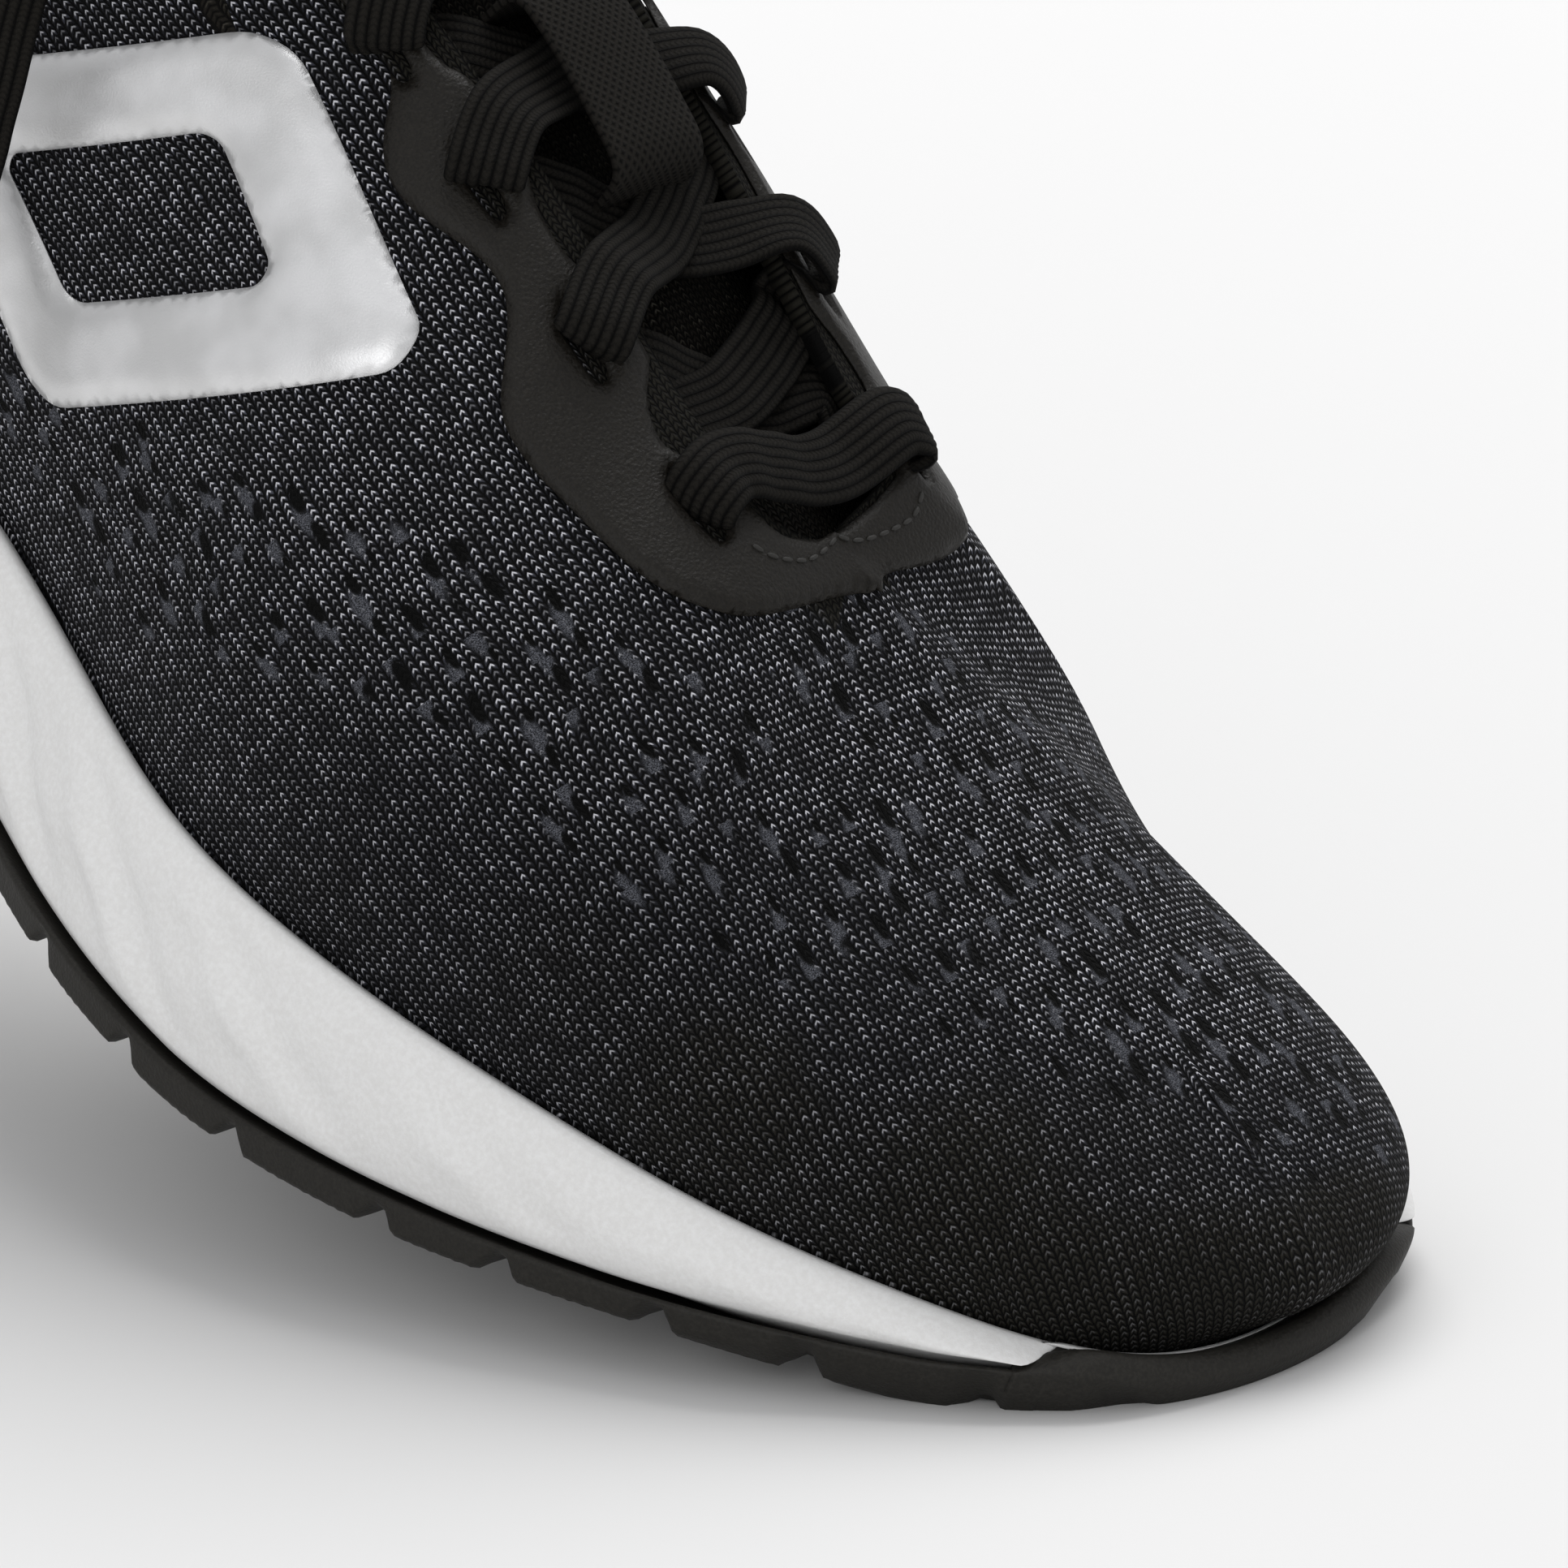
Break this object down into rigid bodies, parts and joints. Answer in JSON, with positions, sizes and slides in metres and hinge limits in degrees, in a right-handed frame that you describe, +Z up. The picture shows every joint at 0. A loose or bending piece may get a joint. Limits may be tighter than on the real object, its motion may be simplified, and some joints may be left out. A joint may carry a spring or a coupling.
{
  "type": "running shoe",
  "caption": "Low-cut running shoe: knitted upper on thick foam midsole with rubber tread, laced throat with padded tongue; forefoot flexes at the ball",
  "frame": {"origin": "centre of the bounding box in X and Y, on the ground plane under the sole", "axes": "+X from heel to toe, +Y towards the medial (inner) side, +Z up"},
  "size_m": [0.2918, 0.105, 0.1324],
  "materials": {
    "foam": "matte moulded foam, white",
    "rubber": "matte, fine grain",
    "knit": "engineered knit, black with grey flecks",
    "film": "welded film, pebbled satin",
    "silver_film": "satin silver film with bevelled edge",
    "lace_weave": "flat woven ribs",
    "aglet_plastic": "gloss",
    "tongue_fabric": "knit over padding",
    "webbing": "woven webbing",
    "board": "stitched fibre board",
    "sock_foam": "cloth-faced foam",
    "stiffener": "thermoformed sheet",
    "padding": "open-cell foam",
    "lining": "soft mesh lining"
  },
  "bodies": {
    "rearfoot": {"outsole_heel_lateral": "rubber", "outsole_heel_medial": "rubber", "outsole_ball_rubber": "rubber", "midsole_rear": "foam", "lasting_board_rear": "board", "sockliner_rear": "sock_foam", "tongue_body": "tongue_fabric", "tongue_lace_keeper": "tongue_fabric", "eyestay_film": "film", "upper_quarter": "knit", "upper_flex_zone": "knit", "heel_counter": "stiffener", "collar_padding": "padding", "collar_lining": "lining", "collar_binding": "lining", "heel_pull_tab": "webbing", "side_emblem_lateral": "silver_film", "side_emblem_medial": "silver_film", "lace_aglet_a": "aglet_plastic", "lace_aglet_b": "aglet_plastic", "lace": "lace_weave"},
    "forefoot": {"outsole_forefoot_rubber": "rubber", "outsole_toe_bumper": "rubber", "midsole_forefoot": "foam", "lasting_board_forefoot": "board", "sockliner_forefoot": "sock_foam", "upper_toe": "knit", "toe_puff": "stiffener"},
    "tongue_flap": {"tongue_top": "tongue_fabric"}
  },
  "joints": [
    {"name": "forefoot_flex", "type": "hinge", "parent": "rearfoot", "child": "forefoot", "pos_m": [0.05632, 0.00195, 0.033], "axis": [0, -1, 0], "range_deg": [0, 30], "stiffness_Nm_per_rad": 6, "deforming": ["upper_flex_zone"]},
    {"name": "tongue_lift", "type": "hinge", "parent": "rearfoot", "child": "tongue_flap", "pos_m": [-0.04978, 0.00195, 0.1215], "axis": [0, 1, 0], "range_deg": [-8, 20], "stiffness_Nm_per_rad": 0.15}
  ]
}
